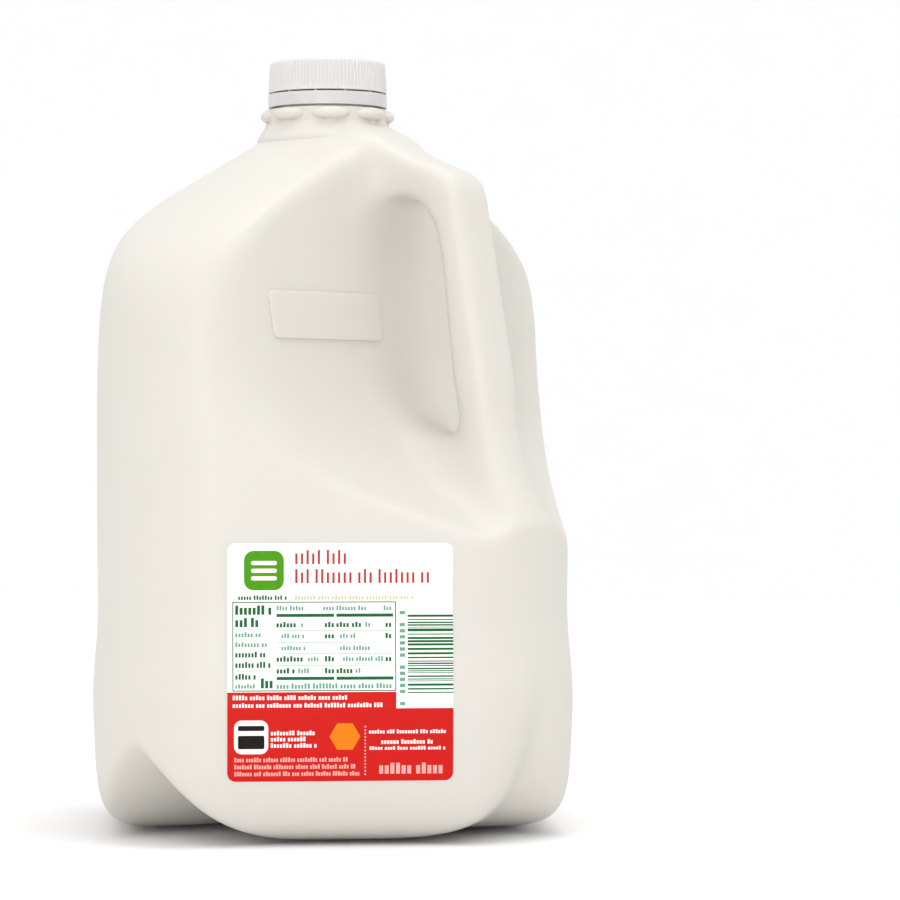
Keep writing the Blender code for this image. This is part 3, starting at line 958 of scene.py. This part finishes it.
# Start and width of the table's two columns, and its outer lines
COLUMNS = ((15.3, 17.9), (33.9, 17.7))
TABLE_LEFT, TABLE_TOP, TABLE_WIDTH, TABLE_LINE = 1.6, 18.4, 50.9, 0.32
RULE = 0.16
POST_PIECE = 2.0
# Striped field: start, its top and bottom, and the widths of its bars and gaps
CODE_LEFT, CODE_TOP, CODE_BOTTOM = 56.1, 22.6, 47.6
CODE_BARS = (0.25, 0.35, 0.5, 0.7, 0.9)
CODE_GAPS = (0.3, 0.45, 0.7)
RED_STEP = 51.9


@dataclass(frozen=True)
class Block:
    """A small rectangle of print, in millimetres from the label's upper left corner."""

    left: float
    top: float
    width: float
    height: float


@dataclass
class Label:
    """Paper label and its print, laid on the bottle's face; sizes in metres."""

    bottle: bpy.types.Object
    width: float = 0.0703
    height: float = 0.0740
    corner: float = 0.0026
    thickness: float = 0.00020
    ink: float = 0.00002
    cell: float = 0.0020
    row_rate: float = 0.99
    facing: Facing = Facing(FACE_OUT, FACE_ACROSS, 0.0950, 0.0, 0.0578, 0.00004)
    rows: random.Random = field(default_factory=lambda: random.Random(7))

    def flat(self, left: float, top: float) -> tuple[float, float]:
        """Turn millimetres from the upper left corner into metres from the middle."""
        return left * MM - self.width / 2.0, self.height / 2.0 - top * MM * self.row_rate

    def levels(self, layer: int) -> tuple[float, float]:
        """Back and front of a layer of ink, rooted in the paper or the layer below."""
        return self.thickness + (layer - 2) * self.ink, self.thickness + layer * self.ink

    def plate(self, outline: Sequence[tuple[float, float]], low: float,
              high: float) -> Callable[[bmesh.types.BMesh], None]:
        """Return a builder of a flat plate with the given outline.

        Args:
            outline: Corner points in metres from the label's middle.
            low: Height of its back.
            high: Height of its front.

        Returns:
            A function that fills a bmesh, cut into cells so that it can bend.
        """
        def build(shape: bmesh.types.BMesh) -> None:
            """Skin the plate and add it, cut into cells, to the shape."""
            whole = bmesh.new()
            skin(whole, [[(x, y, level) for x, y in outline] for level in (low, high)])
            cut_into_cells(whole, self.cell)
            copy = bpy.data.meshes.new("plate")
            whole.to_mesh(copy)
            whole.free()
            shape.from_mesh(copy)
            bpy.data.meshes.remove(copy)
        return build

    def box(self, left: float, top: float, width: float, height: float,
            corners: Sequence[float]) -> list[tuple[float, float]]:
        """Outline of a rounded rectangle given in millimetres from the upper left corner."""
        x, y = self.flat(left, top + height)
        return rounded_box(x, y, width * MM, height * MM * self.row_rate,
                           [radius * MM for radius in corners])

    def ink_box(self, left: float, top: float, width: float, height: float, radius: float,
                layer: int = 1) -> Callable[[bmesh.types.BMesh], None]:
        """Builder of a rounded rectangle of ink on a layer."""
        return self.plate(self.box(left, top, width, height, (radius,) * 4), *self.levels(layer))

    def hexagon(self, left: float, top: float, radius: float) -> list[tuple[float, float]]:
        """Outline of a regular hexagon round a middle in millimetres."""
        return [self.flat(left + x, top + y)
                for x, y in rounded((0.0, 0.0), radius, 0.0, 300.0, 5)]

    def laid_mesh(self, plates: Sequence[Callable], blocks: Sequence[Block],
                  levels: tuple[float, float], segments: int) -> bpy.types.Mesh:
        """Lay plates and repeated blocks of print on the bottle with Geometry Nodes.

        Args:
            plates: Builders of flat plates.
            blocks: Rectangles of print.
            levels: Heights of a block's back and front above the face.
            segments: Pieces that a block is cut into along its width.

        Returns:
            The finished mesh.
        """
        extra = (("Bottle", "NodeSocketObject"), ("Segments", "NodeSocketInt"))
        tree, source, _ = new_tree("laid_print", self, extra)
        size = add_node(tree, "GeometryNodeInputNamedAttribute", {"Name": "block"},
                        data_type="FLOAT_VECTOR")
        width = add_node(tree, "ShaderNodeSeparateXYZ", {0: size.outputs["Attribute"]})
        is_block = add_node(tree, "FunctionNodeCompare", {0: width.outputs[0], 1: 0.0},
                            operation="GREATER_THAN")
        loose = add_node(tree, "GeometryNodeSeparateGeometry",
                         {"Geometry": source.outputs["Geometry"],
                          "Selection": is_block.outputs[0]}, domain="POINT")
        count = Field(tree, source.outputs["Segments"]) + 1.0
        tile = add_node(tree, "GeometryNodeMeshCube", {"Vertices X": count})
        tiles = add_node(tree, "GeometryNodeInstanceOnPoints",
                         {"Points": loose.outputs["Selection"], "Instance": tile.outputs[0],
                          "Scale": size.outputs["Attribute"]})
        real = add_node(tree, "GeometryNodeRealizeInstances", {"Geometry": tiles.outputs[0]})
        whole = add_node(tree, "GeometryNodeJoinGeometry")
        for part in (real.outputs[0], loose.outputs["Inverted"]):
            tree.links.new(part, whole.inputs[0])
        end_tree(tree, source, self.facing.lay(tree, source.outputs["Bottle"], whole.outputs[0]))
        low, high = levels

        def build(shape: bmesh.types.BMesh) -> None:
            """Put every plate and one loose point for each block into the base mesh."""
            for plate in plates:
                plate(shape)
            tag = shape.verts.layers.float_vector.new("block")
            for block in blocks:
                x, y = self.flat(block.left + block.width / 2.0, block.top + block.height / 2.0)
                point = shape.verts.new((x, y, (low + high) / 2.0))
                point[tag] = (block.width * MM, block.height * MM, high - low)

        return run_tree(tree, mesh_from("print", build), self, segments=segments)

    def words(self, left: float, right: float, middle: float, height: float, pitch: float,
              share: float = WORD_SHARE) -> list[Block]:
        """Blocks that stand for a row of small print, in groups like words.

        Args:
            left: Start of the row in millimetres.
            right: End of the row.
            middle: Height of the row's middle below the label's top.
            height: Height of the tall blocks.
            pitch: Width of a block and the gap after it.
            share: Part of the pitch that the block covers.

        Returns:
            The blocks.
        """
        made, place, group = [], left, self.rows.randint(*WORD_LENGTHS)
        while place + pitch * WORD_SHARE <= right:
            tall = self.rows.random() < TALL_CHANCE
            size = height if tall else height * SHORT_HEIGHT
            made.append(Block(place, middle + height / 2.0 - size, pitch * share, size))
            group -= 1
            place += pitch
            if group == 0:
                place += pitch * WORD_GAP
                group = self.rows.randint(*WORD_LENGTHS)
        return made

    def print_rows(self, table: Sequence[tuple]) -> list[Block]:
        """Blocks of every row of a table."""
        return [block for row in table for block in self.words(*row)]

    def add(self, name: str, finish: Finish, plates: Sequence[Callable],
            blocks: Sequence[Block] = (), layer: int = 1, segments: int = 1) -> None:
        """Make one piece of the label.

        Args:
            name: Name of the piece.
            finish: Its paper or ink.
            plates: Builders of its plates.
            blocks: Its blocks of print.
            layer: Layer of ink that the blocks are on, from 1.
            segments: Pieces that a block is cut into along its width.
        """
        mesh = self.laid_mesh(plates, blocks, self.levels(layer), segments)
        add_piece(name, mesh, finish.build(), "label",
                  PAPER_SHARP if finish is LABEL_PAPER else None)

    def lay_paper(self) -> None:
        """Lay the paper, and the red field over its lower part."""
        wide, small = self.width / MM, self.corner / MM
        tall = self.height / MM / self.row_rate
        paper = self.box(0.0, 0.0, wide, tall, (small,) * 4)
        self.add("label_paper", LABEL_PAPER, [self.plate(paper, 0.0, self.thickness)])
        foot = self.box(0.0, RED_STEP, wide, tall - RED_STEP, (0.0, 0.0, small, small))
        self.add("print_red_field", INK_RED, [self.ink_box(0.0, 46.7, 52.5, 5.2, 0.0),
                                              self.plate(foot, *self.levels(1))])

    def print_head(self) -> None:
        """Print the badge and the rows beside and under it."""
        self.add("print_leaf_badge", INK_LEAF, [self.ink_box(5.2, 2.4, 12.4, 12.4, 3.0)])
        self.add("print_badge_bars", INK_WHITE,
                 [self.ink_box(7.4, top, 8.0, 1.3, 0.6, 2) for top in (5.6, 8.0, 10.4)])
        self.add("print_title", INK_ROSE, [], self.print_rows(TITLE_ROWS))
        self.add("print_olive_row", INK_OLIVE, [], self.print_rows(OLIVE_ROWS))

    def print_table(self) -> None:
        """Print the table's lines and rows."""
        bars = [Block(TABLE_LEFT, top, TABLE_WIDTH, TABLE_LINE) for top in (TABLE_TOP, 46.1)]
        bars += [Block(left, top, span, 1.0) for top in (22.2, 41.9) for left, span in COLUMNS]
        self.add("print_table_bars", INK_GREEN, [], bars, 1, 24)
        posts = [Block(left, TABLE_TOP + POST_PIECE * step, TABLE_LINE, POST_PIECE)
                 for left in (TABLE_LEFT, 52.18) for step in range(14)]
        self.add("print_table_sides", INK_GREEN, [], posts)
        rules = [Block(left, top, span, RULE) for top in (27.4, 31.1, 34.6, 38.3)
                 for left, span in COLUMNS]
        rules += [Block(2.5, top, 11.9, RULE) for top in (26.9, 40.0)]
        self.add("print_table_rules", INK_SAGE, [], rules, 1, 10)
        self.add("print_table_rows", INK_GREEN, [], self.print_rows(TABLE_ROWS))
        self.add("print_table_faint_rows", INK_SAGE, [], self.print_rows(FAINT_ROWS))

    def print_code(self) -> None:
        """Print the striped field, with bars of random width, and the ticks beside it."""
        bars, place = [], CODE_TOP
        while place < CODE_BOTTOM:
            size = self.rows.choice(CODE_BARS)
            bars.append(Block(CODE_LEFT, place, self.width / MM - CODE_LEFT, size))
            place += size + self.rows.choice(CODE_GAPS)
        self.add("print_code_bars", INK_GREEN, [], bars, 1, 8)
        ticks = [Block(53.6, 21.4 + 1.9 * step, 1.7, 1.1)
                 for step in range(16) if step not in (1, 8, 14)]
        self.add("print_code_ticks", INK_SAGE, [], ticks)

    def print_foot(self) -> None:
        """Print the rows and marks on the red field."""
        self.add("print_pale_rows", INK_WHITE, [], self.print_rows(PALE_ROWS), 2)
        dots = [Block(42.6, 57.4 + 1.07 * step, 0.5, 0.5) for step in range(15)]
        self.add("print_blush_rows", INK_BLUSH, [], self.print_rows(BLUSH_ROWS) + dots, 2)
        self.add("print_seal", INK_WHITE, [self.ink_box(2.1, 55.5, 10.6, 10.6, 2.4, 2)])
        self.add("print_seal_bands", INK_BLACK, [self.ink_box(3.3, top, 8.2, size, 0.5, 3)
                                                 for top, size in ((57.2, 1.6), (60.3, 4.2))])
        mark = self.plate(self.hexagon(36.5, 60.7, 4.8), *self.levels(2))
        self.add("print_orange_mark", INK_ORANGE, [mark])

    def build(self) -> None:
        """Make the paper and every ink, and lay them on the bottle."""
        self.lay_paper()
        self.print_head()
        self.print_table()
        self.print_code()
        self.print_foot()


# Studio


@dataclass
class Studio:
    """Pale floor, soft lights and the camera, sizes in metres and angles in degrees."""

    floor_middle: float = 0.5
    sweep_radius: float = 3.0
    sweep_height: float = 2.2
    sweep_bend: float = 1.2
    distance: float = 1.242
    height: float = 0.1237
    view_angle: float = -48.0
    lens: float = 150.0
    sensor: float = 36.0
    axis_shift_px: float = 122.4
    frame_px: float = 900.0
    backdrop: str = "#FFFFFF"
    world_strength: float = 1.06
    aim_height: float = 0.12

    def look(self) -> float:
        """Direction that the camera looks in, as an angle in the ground plane."""
        view = math.radians(self.view_angle)
        yaw = math.atan(self.axis_shift_px * self.sensor / (self.lens * self.frame_px))
        return math.atan2(-math.sin(view), -math.cos(view)) - yaw

    def camera(self) -> None:
        """Set the camera level with the label's upper edge, turned a little past the jug."""
        data = bpy.data.cameras.new("camera")
        data.lens = self.lens
        data.sensor_width = self.sensor
        data.clip_start = 0.05
        camera = new_object("camera", data)
        view = math.radians(self.view_angle)
        camera.location = (self.distance * math.cos(view), self.distance * math.sin(view),
                           self.height)
        camera.rotation_euler = (math.pi / 2.0, 0.0, self.look() - math.pi / 2.0)
        bpy.context.scene.camera = camera

    def light(self, name: str, side: float, back: float, up: float, size: float,
              power: float) -> None:
        """Add a soft square light, placed as the camera sees it and aimed at the jug.

        Args:
            name: Name of the light.
            side: How far it is to the camera's right.
            back: How far it is behind the jug, negative towards the camera.
            up: Height.
            size: Side of the square.
            power: Power in watts.
        """
        data = bpy.data.lights.new(name, "AREA")
        data.size = size
        data.energy = power
        lamp = new_object(name, data)
        ahead = Vector((math.cos(self.look()), math.sin(self.look()), 0.0))
        right = Vector((ahead.y, -ahead.x, 0.0))
        lamp.location = right * side + ahead * back + Vector((0.0, 0.0, up))
        aim = Vector((0.0, 0.0, self.aim_height)) - lamp.location
        lamp.rotation_euler = aim.to_track_quat("-Z", "Y").to_euler()

    def floor(self) -> None:
        """Lay a pale round floor that sweeps up far from the jug on every side."""
        bend = (self.sweep_radius - self.sweep_bend, self.sweep_bend)
        profile = [(self.floor_middle, 0.0), *rounded(bend, self.sweep_bend, -90.0, 0.0, 24),
                   (self.sweep_radius, self.sweep_height)]

        def build(shape: bmesh.types.BMesh) -> None:
            """Turn the floor and its sweep, and take the lid off."""
            turned(shape, profile, 96)
            lid = max(shape.faces, key=lambda face: face.calc_center_median().z)
            bmesh.ops.delete(shape, geom=[lid], context="FACES_ONLY")

        floor = new_object("studio_floor", mesh_from("studio_floor", build))
        floor.data.shade_smooth()
        sweep = Finish("matt_paper_sweep", Making.COATED, "#F6F6F6", "#F4F4F4", 60.0,
                       0.85, 0.05, 1.5, 0.01)
        floor.data.materials.append(sweep.build())

    def build(self) -> None:
        """Set up the world, the lights, the floor and the camera."""
        scene = bpy.context.scene
        world = bpy.data.worlds.new("studio")
        world.use_nodes = True
        background = world.node_tree.nodes["Background"]
        background.inputs["Color"].default_value = linear(self.backdrop)
        background.inputs["Strength"].default_value = self.world_strength
        scene.world = world
        scene.view_settings.view_transform = "Standard"
        self.floor()
        self.light("key_light", -0.5, -1.0, 1.5, 0.9, 2.5)
        self.light("top_light", -0.1, 0.3, 1.6, 0.9, 2.0)
        self.light("high_light", 0.3, -0.2, 1.9, 0.6, 7.5)
        self.light("low_light", -0.2, -1.9, 0.2, 0.36, 7.2)
        self.camera()


def main() -> None:
    """Build the jug and the studio, in order, and report each piece."""
    logging.basicConfig(level=logging.INFO, format="%(message)s")
    bottle = Bottle().build()
    closure = Closure()
    closure.cap()
    closure.band()
    Label(bottle).build()
    Studio().build()


if __name__ == "__main__":
    main()
